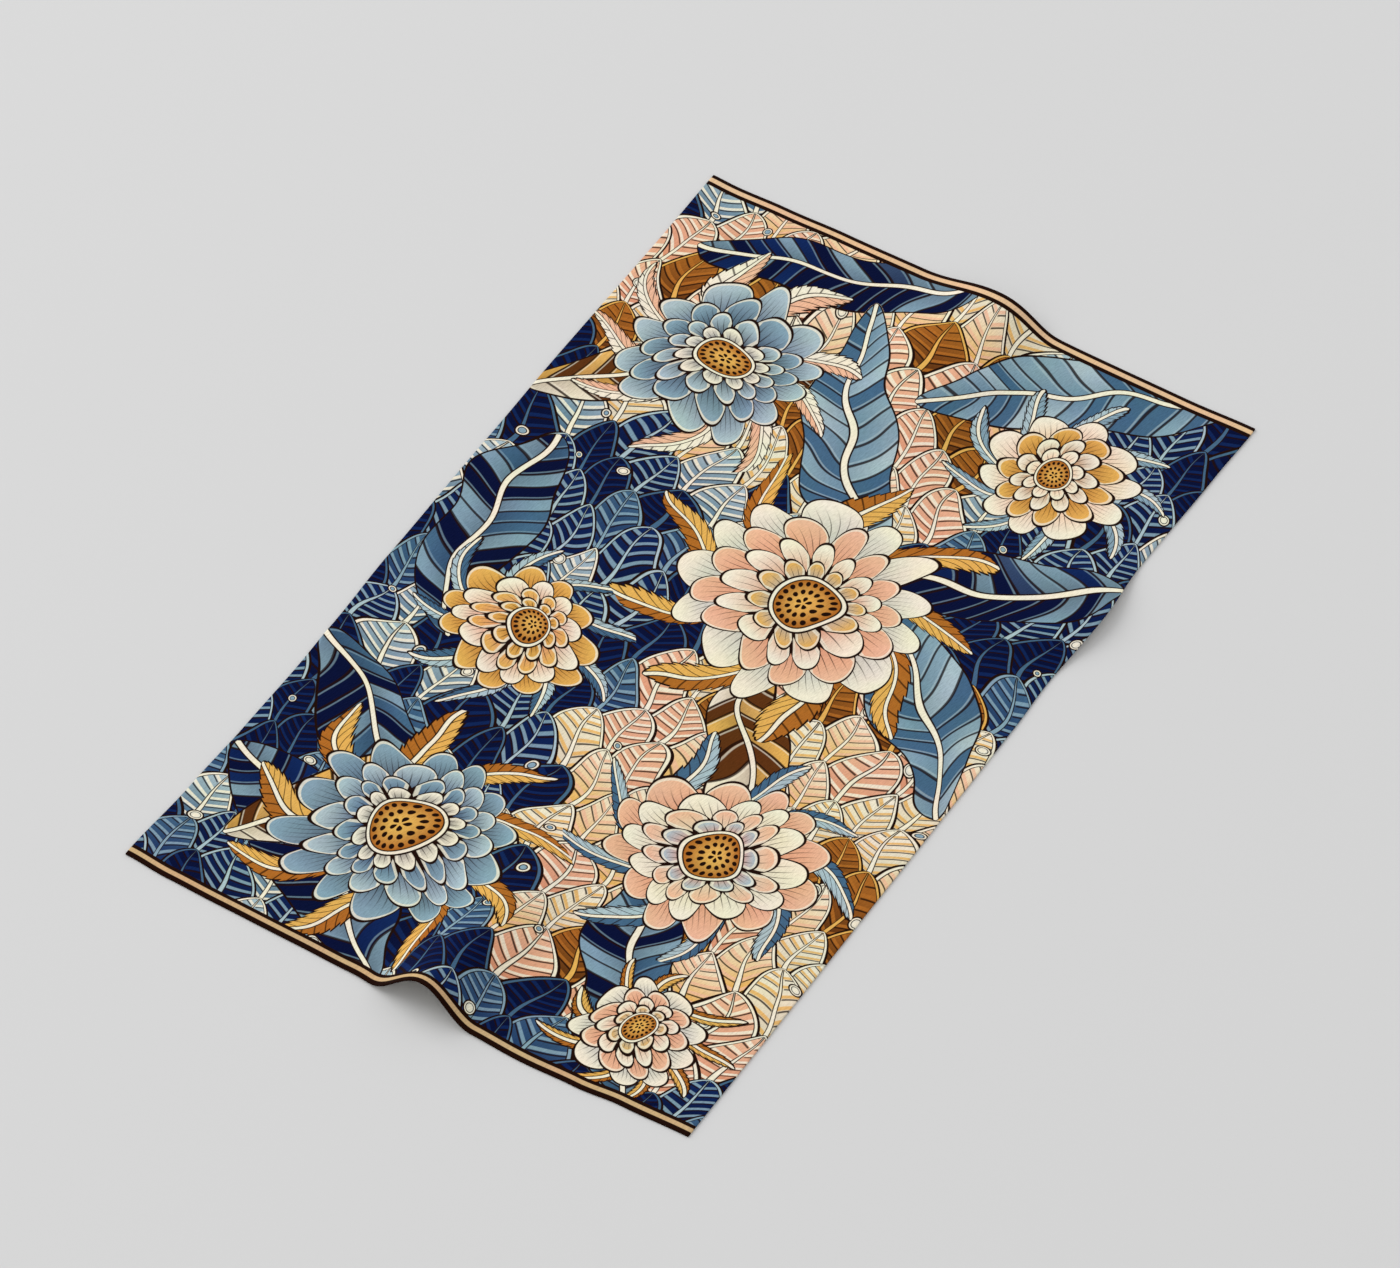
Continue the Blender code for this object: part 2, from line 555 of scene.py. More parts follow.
def warmth(foot):
    """Under 1 in a warm patch of the ground. Noise makes the patches' outlines uneven."""
    nearest = None
    for patch in WARM_PATCHES:
        spot = moved(
            foot, (1 / patch.wide, 1 / patch.tall, 0.0),
            (-patch.x / patch.wide, -patch.y / patch.tall, 0.0),
        )
        far = run_in(spot, spot)
        nearest = far if nearest is None else nearest.math("MINIMUM", far)
    return nearest + (noise(foot, PATCH_LUMPS) - 0.5) * PATCH_UNEVENNESS


# %% Colour the tiles
# Each stretch of the key is one way to colour a tile: four cool ones, then four warm ones.
TILE_KEYS = (0.0, 0.20, 0.34, 0.42, 0.5, 0.65, 0.77, 0.89)
TILE_FOOT = (NAVY, NAVY, SLATE, DEEP, BROWN, GOLD, ROSE, SAND)
TILE_TIP = (NAVY, DEEP, MIST, SLATE, RUST, CREAM, PEACH, CREAM)
TILE_STRIPE = (DEEP, STEEL, CREAM, STEEL, RUST, PEACH, CREAM, GOLD)
TILE_RIM = (SLATE, MIST, CREAM, STEEL, GOLD, CREAM, CREAM, CREAM)
COOL_KEYS = 0.499        # chance picks among the cool half of the key
WARM_STEP = 0.5          # and a warm patch moves the pick into the warm half
WARM_SOFT = 0.001
FADE_FROM, FADE_TO = 0.15, 0.95      # where the foot's colour turns into the tip's

# A rib is one slanting stretch from vein to vein. Places across it are shares of its width.
RIBS_ON_A_TILE = 7.0
RIB_SLANT = 32.0
RIB_SOFT = 0.08
STRIPE_FROM, STRIPE_TO, STRIPE_STRENGTH = 0.62, 0.93, 0.85
VEIN_AT, VEIN_HALF, VEIN_SOFT, VEIN_STRENGTH = 0.5, 0.075, 0.07, 0.9
VEINS_START, VEINS_START_SOFT = 0.004, 0.002     # metres from the middle of the tile
MIDRIB_HALF = 0.0034     # at the foot; it tapers to nothing at the tip
RIM_WIDTH = 0.0034
THIN_INK = 0.0014


def leaf_tiles(place):
    tile, foot = covering_tile(place)
    key = chance(foot) * COOL_KEYS + under(warmth(foot), 1.0, WARM_SOFT) * WARM_STEP
    side, rise, inside = parted(tile)
    side = abs(side)
    rib = (rise * RIBS_ON_A_TILE - side * RIB_SLANT).math("FRACT")
    colour = paint(
        stops(key, TILE_KEYS, TILE_FOOT), stops(key, TILE_KEYS, TILE_TIP),
        between(rise, FADE_FROM, FADE_TO),
    )
    stripe = over(rib, STRIPE_FROM, RIB_SOFT) * under(rib, STRIPE_TO, RIB_SOFT) * STRIPE_STRENGTH
    colour = paint(colour, stops(key, TILE_KEYS, TILE_STRIPE), stripe)
    vein = line(rib, VEIN_AT, VEIN_HALF, VEIN_SOFT) * over(side, VEINS_START, VEINS_START_SOFT)
    colour = paint(colour, INK, vein * VEIN_STRENGTH)
    rim = stops(key, TILE_KEYS, TILE_RIM)
    midrib = MIDRIB_HALF * (1 - rise)
    colour = paint(colour, INK, under(side - midrib, THIN_INK))
    colour = paint(colour, rim, under(side - midrib, 0.0))
    colour = paint(colour, INK, under(inside, INK_LINE + RIM_WIDTH + THIN_INK))
    colour = paint(colour, rim, under(inside, INK_LINE + RIM_WIDTH))
    return paint(colour, INK, under(inside, INK_LINE))


printed = leaf_tiles(drawn)
print(f"ground: {len(velour.tree.nodes)} nodes so far")

# %% [markdown]
# ## Pearls
# Small round pearls fill the gaps of such a print. The cloth is cut into square cells. Each
# cell draws its luck, which gives its pearl's size and colour; with little luck it has none.

# %% Pearls
PEARL_CELL = 0.085       # metres
PEARL_SHIFT = (0.37, 0.21, 0.0)      # cells; the pearls don't stand evenly about the middle
PEARL_RADIUS = 0.0135    # of the largest
PEARL_SHARE = 0.38       # of the cells that hold one
CREAM_PEARLS = 0.80      # above this luck a pearl is cream, below it steel blue
LUCK_SOFT = 0.01
PEARL_SHADE_FROM, PEARL_SHADE_TO = 0.003, 0.013      # from its middle, where its dye turns pale
PEARL_RING = 0.0052      # how far in from the outline the drawn ring lies
PEARL_RING_HALF = 0.0007
PEARL_RIM = 0.0046
PEARL_OUTLINE = INK_LINE * 0.8
SHAPE_STARTS = 0.0006    # how far inside its outline a shape begins to cover the ground


def pearls(colour, place):
    spot = moved(place, (1 / PEARL_CELL, 1 / PEARL_CELL, 0.0), PEARL_SHIFT)
    x, y, _ = parted(spot)
    column, row = x.math("FLOOR"), y.math("FLOOR")
    luck = chance(joined(column, row))
    x, y = x - column - 0.5, y - row - 0.5
    far = (x * x + y * y).math("SQRT") * PEARL_CELL
    radius = luck.math("GREATER_THAN", 1 - PEARL_SHARE) * luck * PEARL_RADIUS
    inside = radius - far
    pearl = paint(STEEL, CREAM, over(luck, CREAM_PEARLS, LUCK_SOFT))
    pearl = paint(pearl, MIST, between(far, PEARL_SHADE_FROM, PEARL_SHADE_TO))
    pearl = paint(pearl, INK, line(inside, PEARL_RING, PEARL_RING_HALF))
    pearl = paint(pearl, CREAM, under(inside, PEARL_RIM))
    pearl = paint(pearl, INK, under(inside, PEARL_OUTLINE))
    return paint(colour, pearl, over(inside, SHAPE_STARTS))


printed = pearls(printed, drawn)
print(f"pearls: {len(velour.tree.nodes)} nodes so far")

# %% [markdown]
# ## Long leaves
# Over the ground lie long striped leaves. Each row of the table places one by its foot, its
# direction in degrees, its length and half its width; `bend` bows it sideways. A leaf's own
# place is how far along it and how far beside its midrib a point is. The last leaf that covers
# a point wins.

# %% The long leaves' table
Leaf = namedtuple("Leaf", "x y turn length half_width bend kind")
LEAVES = (
    Leaf(-0.30, -0.20, 100, 0.42, 0.066, 0.10, 0),
    Leaf(0.44, -0.10, 135, 0.46, 0.070, -0.12, 1),
    Leaf(-0.06, -0.75, 148, 0.46, 0.074, -0.12, 2),
    Leaf(0.34, -0.76, 112, 0.50, 0.066, 0.12, 0),
    Leaf(0.42, 0.78, -148, 0.46, 0.070, -0.12, 1),
    Leaf(-0.44, 0.26, 36, 0.44, 0.064, 0.12, 3),
    Leaf(0.02, 0.77, -162, 0.44, 0.062, 0.10, 2),
    Leaf(-0.44, -0.28, -44, 0.42, 0.066, 0.10, 0),
    Leaf(0.10, 0.02, -64, 0.36, 0.060, -0.09, 3),
    Leaf(0.45, 0.38, -160, 0.42, 0.060, 0.08, 2),
    Leaf(0.12, 0.22, 118, 0.50, 0.062, 0.10, 1),
    Leaf(-0.36, -0.66, 62, 0.34, 0.050, -0.06, 3),
)
LEAF_KEYS = (0.0, 0.25, 0.5, 0.75)
LEAF_DEEP = (NAVY, SLATE, NAVY, BROWN)
LEAF_MIDDLE = (SLATE, STEEL, DEEP, GOLD)
LEAF_PALE = (STEEL, MIST, STEEL, CREAM)
KIND_NUDGE = 0.05        # puts a kind's key well inside its stretch
LEAF_SWELL = 2.36        # gives the middle of the outline the half width in the table
LEAF_STARTS = 0.0002     # how far inside its outline a leaf wins over another, metres


def leaf_spot(place, leaf):
    """A place seen from one leaf: the share run along it, the way beside it, the depth inside."""
    turn = math.radians(leaf.turn)
    x, y = math.cos(turn), math.sin(turn)
    along = run_in(place, (x / leaf.length, y / leaf.length, 0.0))
    along = along - (leaf.x * x + leaf.y * y) / leaf.length
    swell = along * (1 - along)
    beside = run_in(place, (-y, x, 0.0)) - (leaf.y * x - leaf.x * y) - swell * leaf.bend
    inside = swell ** LEAF_FULLNESS * (leaf.half_width * LEAF_SWELL) - abs(beside)
    return joined(along, beside, inside), inside


def covering_leaf(place):
    """The leaf that a place belongs to: where the place is in it, and its kind and length."""
    for leaf in LEAVES:
        spot, inside = leaf_spot(place, leaf)
        facts = (leaf.kind / len(LEAF_KEYS) + KIND_NUDGE, leaf.length, 0.0)
        if leaf is LEAVES[0]:
            chosen, chosen_facts = spot, facts
        else:
            covered = inside.math("GREATER_THAN", LEAF_STARTS)
            chosen = choose(covered, chosen, spot)
            chosen_facts = choose(covered, chosen_facts, facts)
    return chosen, chosen_facts


# %% Colour the long leaves
# A leaf has slanting stripes between its veins. Each stripe draws its shade: deep, middle or
# pale. Places across a stripe are shares of its width, and the others are in metres.
LEAF_STRIPES = 34.0      # to the metre
LEAF_SLANT = 26.0
HALVES_APART = 7.0       # keeps the two halves of a leaf from drawing the same shades
MIDDLE_FROM, PALE_FROM, SHADE_SOFT, PALE_STRENGTH = 0.45, 0.78, 0.02, 0.9
SHADOW_REACH, SHADOW_STRENGTH = 0.045, 0.45      # the dark on both sides of the midrib
GLINT_FROM, GLINT_FROM_SOFT, GLINT_STRENGTH = 0.10, 0.05, 0.5
GLINT_TO, GLINT_TO_SOFT = 0.20, 0.06
LEAF_VEIN, LEAF_VEIN_SOFT, LEAF_VEIN_STRENGTH = 0.075, 0.05, 0.9
LEAF_MIDRIB_HALF = 0.0036
LEAF_MIDRIB_LINE, LEAF_MIDRIB_LINE_HALF = 0.0045, 0.0010


def long_leaves(colour, place):
    chosen, chosen_facts = covering_leaf(place)
    along, beside, inside = parted(chosen)
    key, length, _ = parted(chosen_facts)
    side = abs(beside)
    deep, middle, pale = (
        stops(key, LEAF_KEYS, colours) for colours in (LEAF_DEEP, LEAF_MIDDLE, LEAF_PALE)
    )
    run = along * length * LEAF_STRIPES - side * LEAF_SLANT
    rib = run.math("FRACT")
    stripe = run.math("FLOOR")
    half = beside.math("GREATER_THAN", 0.0) * HALVES_APART
    shade = chance(joined(stripe, key + half))
    leaf = paint(deep, middle, over(shade, MIDDLE_FROM, SHADE_SOFT))
    leaf = paint(leaf, pale, over(shade, PALE_FROM, SHADE_SOFT) * PALE_STRENGTH)
    leaf = paint(leaf, deep, (1 - between(side, 0.0, SHADOW_REACH)) * SHADOW_STRENGTH)
    glint = over(rib, GLINT_FROM, GLINT_FROM_SOFT) * under(rib, GLINT_TO, GLINT_TO_SOFT)
    leaf = paint(leaf, pale, glint * GLINT_STRENGTH)
    gap = over(rib, LEAF_VEIN, LEAF_VEIN_SOFT) * under(rib, 1 - LEAF_VEIN, LEAF_VEIN_SOFT)
    leaf = paint(leaf, INK, (1 - gap) * LEAF_VEIN_STRENGTH)
    leaf = paint(leaf, CREAM, under(side, LEAF_MIDRIB_HALF))
    leaf = paint(leaf, INK, line(side, LEAF_MIDRIB_LINE, LEAF_MIDRIB_LINE_HALF))
    leaf = paint(leaf, INK, under(inside, INK_LINE))
    return paint(colour, leaf, over(inside, SHAPE_STARTS))


printed = long_leaves(printed, drawn)
print(f"long leaves: {len(velour.tree.nodes)} nodes so far")

# %% [markdown]
# ## Blossoms
# On top lie seven large blossoms, each four rings of petals around a seeded heart, with nine
# small toothed leaves standing out around it. A point belongs to the blossom whose middle is
# nearest, counted in that blossom's radii. From then on it is drawn round that middle: a petal
# is one share of the turn, and folding that share in two makes it the same on both sides.

# %% The blossoms' table
Blossom = namedtuple("Blossom", "x y radius petals kind")
BLOSSOMS = (
    Blossom(0.085, 0.140, 0.190, 13, 0),
    Blossom(-0.245, 0.455, 0.150, 12, 1),
    Blossom(0.265, 0.530, 0.120, 10, 2),
    Blossom(-0.215, -0.125, 0.120, 11, 3),
    Blossom(0.215, -0.320, 0.150, 12, 4),
    Blossom(-0.160, -0.520, 0.165, 14, 5),
    Blossom(0.300, -0.640, 0.090, 9, 0),
)
BLOSSOM_KINDS = 6
BLOSSOM_KEYS = tuple(kind / BLOSSOM_KINDS for kind in range(BLOSSOM_KINDS))
OUTER_LIP = (CREAM, MIST, CREAM, GOLD, PEACH, STEEL)
OUTER_FOOT = (STONE, DEEP, PEACH, RUST, ROSE, NAVY)
MIDDLE_LIP = (PEACH, STEEL, GOLD, CREAM, CREAM, MIST)
MIDDLE_FOOT = (ROSE, NAVY, RUST, ROSE, SAND, DEEP)
INNER_LIP = (GOLD, CREAM, CREAM, GOLD, MIST, CREAM)
SMALL_LEAF = (GOLD, PEACH, STEEL, SLATE, MIST, GOLD)
SMALL_LEAF_OTHER_HALF = (RUST, CREAM, MIST, MIST, SLATE, RUST)
BLOSSOM_NUDGE = 0.02     # puts a kind's key well inside its stretch
KIND_TURN = 0.17         # of a full turn: every kind stands turned a little further

# phase: 0.5 sets the petals between those of the ring outside     reach: share of the radius
# notch: how deep the gaps go, as a share of the reach             veins: on half a petal
Ring = namedtuple("Ring", "phase reach notch veins")
OUTER_RING = Ring(0.0, 1.0, 0.26, 4.0)
MIDDLE_RING = Ring(0.5, 0.80, 0.26, 3.0)
INNER_RING = Ring(0.0, 0.61, 0.28, 2.0)
HEART_RING = Ring(0.5, 0.44, 0.30, 2.0)
HEART_RING_FEWER = 2     # petals less than the other rings have


# %% One ring of petals
# Places along a petal are shares of its ring's reach, widths are in metres.
PETAL_POINT = 2.2        # the power that shapes a petal's end; larger is blunter
PETAL_FADE_FROM, PETAL_FADE_TO = 0.45, 0.92
PETAL_VEIN_HALF, PETAL_VEIN_SOFT, PETAL_VEIN_STRENGTH = 0.0005, 0.0007, 0.85
PETAL_VEINS_END, PETAL_VEINS_SOFT = 0.80, 0.25
PETAL_RIM, PETAL_RIM_STRENGTH = INK_LINE * 1.8, 0.7
PETAL_OUTLINE = INK_LINE * 0.80
PETAL_STARTS = -INK_LINE * 0.2       # the outline begins a little outside the petal


def petal_ring(colour, round_heart, count, ring, lip_colour, foot_colour):
    """`fold` is 0 along the middle of a petal and 1 in the gap between two."""
    r, turn, size, half_turn = round_heart
    fold = (turn * count + ring.phase).math("PINGPONG", 0.5) * 2
    lip = ((1 - fold ** PETAL_POINT * ring.notch) * ring.reach - r) * size
    span = half_turn / count
    inside = lip.math("MINIMUM", (1 - fold) * span)
    fade = between(r, ring.reach * PETAL_FADE_FROM, ring.reach * PETAL_FADE_TO)
    petal = paint(foot_colour, lip_colour, fade)
    from_vein = abs((fold * ring.veins).math("FRACT") - 0.5) * span / ring.veins
    vein = under(from_vein, PETAL_VEIN_HALF, PETAL_VEIN_SOFT)
    vein = vein * under(r, ring.reach * PETAL_VEINS_END, ring.reach * PETAL_VEINS_SOFT)
    petal = paint(petal, INK, vein * PETAL_VEIN_STRENGTH)
    petal = paint(petal, CREAM, under(inside, PETAL_RIM) * PETAL_RIM_STRENGTH)
    petal = paint(petal, INK, under(inside, PETAL_OUTLINE))
    return paint(colour, petal, over(lip, PETAL_STARTS))


# %% The leaves around a blossom
# Places from a blossom's middle outwards are shares of its radius.
SMALL_LEAVES = 9
SMALL_LEAF_FOOT, SMALL_LEAF_TIP = 0.6, 1.42      # the foot is hidden under the petals
SMALL_LEAF_HALF_WIDTH = 0.155
SMALL_LEAF_BEND = 0.6    # radians that it leans over for each radius outwards
SMALL_LEAF_FULLNESS, SMALL_LEAF_SWELL = 0.6, 2.3
TEETH, TOOTH_SLANT = 8.0, 9.0
TOOTH_DEPTH, TOOTH_LEAST = 0.18, 0.86
SMALL_LEAF_HALVES_SOFT = 0.02
SMALL_VEIN, SMALL_VEIN_STRENGTH = 0.07, 0.8
SMALL_MIDRIB_HALF = 0.0026       # metres
SMALL_MIDRIB_LINE, SMALL_MIDRIB_LINE_HALF = 0.0033, 0.0008


def leaf_ring(colour, round_heart, one_half, other_half):
    """Small toothed leaves that stand out from under the petals."""
    r, turn, size, half_turn = round_heart
    lean = (r - 1) * (SMALL_LEAF_BEND / FULL_TURN)
    fold = ((turn + lean) * SMALL_LEAVES).math("FRACT") - 0.5
    side = abs(fold) * half_turn * (2 / SMALL_LEAVES)
    along = (r - SMALL_LEAF_FOOT) / (SMALL_LEAF_TIP - SMALL_LEAF_FOOT)
    run = (along * TEETH - abs(fold) * TOOTH_SLANT).math("FRACT")
    tooth = run * TOOTH_DEPTH + TOOTH_LEAST
    swell = (along * (1 - along)) ** SMALL_LEAF_FULLNESS
    inside = swell * tooth * size * (SMALL_LEAF_HALF_WIDTH * SMALL_LEAF_SWELL) - side
    leaf = paint(one_half, other_half, over(fold, 0.0, SMALL_LEAF_HALVES_SOFT))
    leaf = paint(leaf, INK, line(run, 0.5, SMALL_VEIN, SMALL_VEIN) * SMALL_VEIN_STRENGTH)
    leaf = paint(leaf, CREAM, under(side, SMALL_MIDRIB_HALF))
    leaf = paint(leaf, INK, line(side, SMALL_MIDRIB_LINE, SMALL_MIDRIB_LINE_HALF))
    leaf = paint(leaf, INK, under(inside, INK_LINE))
    return paint(colour, leaf, over(inside, SHAPE_STARTS))


# %% A blossom's heart
# All places and widths here are shares of the blossom's radius.
SEED_RINGS = 13.0        # to the radius
FIRST_SEEDS, MORE_SEEDS = 5.0, 7.0       # in the middle, and more in each ring outwards
SEED_SIZE, SEED_SOFT = 0.10, 0.05        # the square of its radius, in cells
HEART_FADE_FROM, HEART_FADE_TO = 0.05, 0.22
DISC_EDGE, DISC_SOFT = 0.235, 0.006
DISC_LINE, DISC_LINE_HALF = 0.236, 0.006
HEART_INK, HEART_EDGE, HEART_SOFT = 0.268, 0.285, 0.005


def seeded_heart(colour, r, turn):
    """The disc in the middle, with seeds in rings."""
    rings = r * SEED_RINGS
    across = (turn * (rings.math("FLOOR") * MORE_SEEDS + FIRST_SEEDS)).math("FRACT") - 0.5
    outwards = rings.math("FRACT") - 0.5
    heart = paint(GOLD, RUST, between(r, HEART_FADE_FROM, HEART_FADE_TO))
    seed = under(across * across + outwards * outwards, SEED_SIZE, SEED_SOFT)
    heart = paint(heart, INK, seed)
    heart = paint(heart, CREAM, over(r, DISC_EDGE, DISC_SOFT))
    heart = paint(heart, INK, line(r, DISC_LINE, DISC_LINE_HALF, DISC_SOFT))
    heart = paint(heart, INK, over(r, HEART_INK, HEART_SOFT))
    return paint(colour, heart, under(r, HEART_EDGE, HEART_SOFT))


# %% Draw all the blossoms
def nearest_blossom(place):
    """How far off the nearest blossom is, the place seen from it, and its facts."""
    for blossom in BLOSSOMS:
        spot = moved(
            place, (1 / blossom.radius, 1 / blossom.radius, 0.0),
            (-blossom.x / blossom.radius, -blossom.y / blossom.radius, 0.0),
        )
        far = run_in(spot, spot)
        facts = (blossom.radius, blossom.petals, blossom.kind)
        if blossom is BLOSSOMS[0]:
            nearest, chosen, chosen_facts = far, spot, facts
        else:
            nearer = far.math("LESS_THAN", nearest)
            nearest = nearest.math("MINIMUM", far)
            chosen = choose(nearer, chosen, spot)
            chosen_facts = choose(nearer, chosen_facts, facts)
    return nearest.math("SQRT"), chosen, chosen_facts


def blossoms(colour, place):
    r, chosen, chosen_facts = nearest_blossom(place)
    x, y, _ = parted(chosen)
    size, petals, kind = parted(chosen_facts)
    turn = y.math("ARCTAN2", x) / FULL_TURN + kind * KIND_TURN
    round_heart = r, turn, size, r * size * math.pi
    key = kind / BLOSSOM_KINDS + BLOSSOM_NUDGE

    def by_kind(colours):
        return stops(key, BLOSSOM_KEYS, colours)

    one_half, other_half = by_kind(SMALL_LEAF), by_kind(SMALL_LEAF_OTHER_HALF)
    colour = leaf_ring(colour, round_heart, one_half, other_half)
    outer_lip, outer_foot = by_kind(OUTER_LIP), by_kind(OUTER_FOOT)
    colour = petal_ring(colour, round_heart, petals, OUTER_RING, outer_lip, outer_foot)
    middle_foot, middle_lip = by_kind(MIDDLE_FOOT), by_kind(MIDDLE_LIP)
    colour = petal_ring(colour, round_heart, petals, MIDDLE_RING, middle_lip, middle_foot)
    colour = petal_ring(colour, round_heart, petals, INNER_RING, outer_lip, middle_foot)
    fewer, inner_lip = petals - HEART_RING_FEWER, by_kind(INNER_LIP)
    colour = petal_ring(colour, round_heart, fewer, HEART_RING, inner_lip, outer_foot)
    return seeded_heart(colour, r, turn)


printed = blossoms(printed, drawn)
print(f"blossoms: {len(velour.tree.nodes)} nodes so far")

# %% [markdown]
# ## The end borders and the pile
# Both ends carry a printed border: a peach stripe between two lines of ink. It follows the
# hem, so it is measured on the flat cloth and not on the hand-drawn places.
#
# The velour itself is short cut pile. It never takes dye quite evenly, so a soft wash makes
# the colours a little warmer here and cooler there. Close to, it is a fine speckle of tufts,
# drawn out along the way the pile was brushed: nearly along the towel. The tufts go into a
# Bump that bends the light, and into the colour, which is darker on the lower tufts: uneven
# tone, and painted shade of the pile's hollows.

# %% End borders
# end: 1 for the far end, -1 for the near one     stripe: the dye between the lines of ink
# ink_out, stripe_out, ink_in: where each of the three ends, in metres from the cloth's edge
Border = namedtuple("Border", "end ink_out stripe_out ink_in stripe")
BORDERS = (
    Border(1, 0.0066, 0.0142, 0.0210, dye(226, 188, 148)),
    Border(-1, 0.0072, 0.0142, 0.0200, dye(202, 170, 126)),
)

_, along_cloth, _ = parted(flat_cloth)
for border in BORDERS:
    from_edge = CUT_LENGTH / 2 - along_cloth * border.end
    printed = paint(printed, INK, under(from_edge, border.ink_in))
    printed = paint(printed, border.stripe, under(from_edge, border.stripe_out))
    printed = paint(printed, INK, under(from_edge, border.ink_out))
print(f"borders: {len(velour.tree.nodes)} nodes so far")

# %% The pile of the velour
WASH_LUMPS = 13.0        # to the metre
WASH_DETAIL = 2.0
WASH_LEAST = (0.91, 0.92, 0.90)
WASH_RANGE = (0.18, 0.16, 0.20)
NAP_LEAN = math.radians(14.0)    # how far off the towel's length the pile is brushed
TUFTS = 420.0            # to the metre, across the nap
TUFT_DETAIL = 2.0
TUFT_STRETCH = 0.30      # tufts to the metre along the nap, as a share of those across it
TUFT_TONE_AND_SHADE = 0.34         # from the darkest tuft to the palest, as a share of the colour
TUFT_HEIGHT = 0.0009     # metres

wash = moved(noise(flat_cloth, WASH_LUMPS, WASH_DETAIL, "Color"), WASH_RANGE, WASH_LEAST)
washed = velour.node("ShaderNodeVectorMath", {"operation": "MULTIPLY"}, {0: printed, 1: wash})
nap_x, nap_y = math.sin(NAP_LEAN), math.cos(NAP_LEAN)
nap_place = joined(
    run_in(flat_cloth, (nap_y, -nap_x, 0.0)),
    run_in(flat_cloth, (nap_x * TUFT_STRETCH, nap_y * TUFT_STRETCH, 0.0)),
)
tufts = noise(nap_place, TUFTS, TUFT_DETAIL)
# Lower tufts are painted darker: their uneven tone, and painted shade of the pile's hollows.
tuft_tone_and_shade = tufts * TUFT_TONE_AND_SHADE + (1 - TUFT_TONE_AND_SHADE / 2)
velour.feed(velour.shader.inputs["Base Color"], tint(washed, tuft_tone_and_shade))
pile = velour.node(
    "ShaderNodeBump", {}, {"Strength": 1.0, "Distance": TUFT_HEIGHT, "Height": tufts}, "Normal",
)
velour.feed(velour.shader.inputs["Normal"], pile)
print(f"velour: {len(velour.tree.nodes)} nodes in all")

# %% [markdown]
# ## The looped back
# The back isn't sheared or printed. Its loops stand close together, each a small lump with a
# shadow round it, which a Voronoi texture gives. The hem is turned under by 12 mm all round and
# sewn with one line of stitches; it shows its flat ground weave.

# %% Loops, weave and stitches
LOOPS = 480.0            # to the metre
LOOP_UNEVENNESS = 0.75   # 0 would set them in straight rows
WEAVE = 700.0            # threads to the metre
HEM = 0.012              # metres
STITCH_FROM_EDGE = 0.0100
STITCH_HALF, STITCH_SOFT = 0.0006, 0.0004
STITCHES = 300.0         # to the metre
STITCH_GAP, STITCH_GAP_SOFT = 0.25, 0.1      # shares of a stitch

back = Finish(
    "looped_back",
    Roughness=0.97, Specular_IOR_Level=0.10, Sheen_Weight=0.10, Sheen_Roughness=0.5,
)
back_place = back.node("ShaderNodeUVMap", {"uv_map": "cloth"}, {})
loop_gap = back.node(
    "ShaderNodeTexVoronoi", {"voronoi_dimensions": "2D"},
    {"Vector": back_place, "Scale": LOOPS, "Randomness": LOOP_UNEVENNESS}, "Distance",
)
x, y, _ = parted(back_place)
from_edge = (CUT_WIDTH / 2 - abs(x)).math("MINIMUM", CUT_LENGTH / 2 - abs(y))
on_hem = under(from_edge, HEM)
weave = ((x * WEAVE).math("FRACT") - 0.5) * ((y * WEAVE).math("FRACT") - 0.5)
seam = line(from_edge, STITCH_FROM_EDGE, STITCH_HALF, STITCH_SOFT)
stitch = seam * over(((x + y) * STITCHES).math("FRACT"), STITCH_GAP, STITCH_GAP_SOFT)
print(f"loops and hem: {len(back.tree.nodes)} nodes so far")

# %% Colour and relief of the back
COTTON = (0.80, 0.77, 0.70)
COTTON_SHADOW = (0.54, 0.51, 0.45)
GAP_FROM, GAP_TO = 0.25, 0.75        # from a loop's middle to the shadow round it
THREAD_DARKNESS = 0.5
BACK_WASH_LEAST, BACK_WASH_RANGE = 0.9, 0.2
LOOP_HEIGHT = 0.0012                 # metres; the two below are shares of it
HEM_HEIGHT = 0.6
THREAD_HEIGHT = 0.3

loop_colour = paint(COTTON, COTTON_SHADOW, between(loop_gap, GAP_FROM, GAP_TO))
loop_colour = paint(loop_colour, COTTON, on_hem)
loop_colour = paint(loop_colour, INK, stitch * THREAD_DARKNESS)
back_wash = noise(back_place, WASH_LUMPS, WASH_DETAIL) * BACK_WASH_RANGE + BACK_WASH_LEAST
back.feed(back.shader.inputs["Base Color"], tint(loop_colour, back_wash))
relief = (1 - loop_gap) * (1 - on_hem) + on_hem * (weave + HEM_HEIGHT) + stitch * THREAD_HEIGHT
loops = back.node(
    "ShaderNodeBump", {}, {"Strength": 1.0, "Distance": LOOP_HEIGHT, "Height": relief}, "Normal",
)
back.feed(back.shader.inputs["Normal"], loops)
cloth_mesh.materials.append(velour.material)
cloth_mesh.materials.append(back.material)
print(f"looped back: {len(back.tree.nodes)} nodes in all")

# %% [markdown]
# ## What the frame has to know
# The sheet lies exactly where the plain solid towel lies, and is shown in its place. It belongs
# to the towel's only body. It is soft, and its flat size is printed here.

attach(towel, "root")
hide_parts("towel")
print(f"flat size: {CUT_WIDTH * 1000:.0f} by {CUT_LENGTH * 1000:.0f} mm")

# %% [markdown]
# ## Floor, light and camera
# The towel lies on a plain pale floor. Most of its light comes evenly from all round, which
# keeps the shadows pale. The rest comes from one very large, soft light that stands low beside
# the long left-hand edge, so the folds shade to their right. The camera is far off with a long
# lens, which keeps the towel's long edges nearly parallel.

# %% The floor
FLOOR_SIZE = 24.0        # metres
FLOOR_GREY = 0.60        # the share of light that it gives back

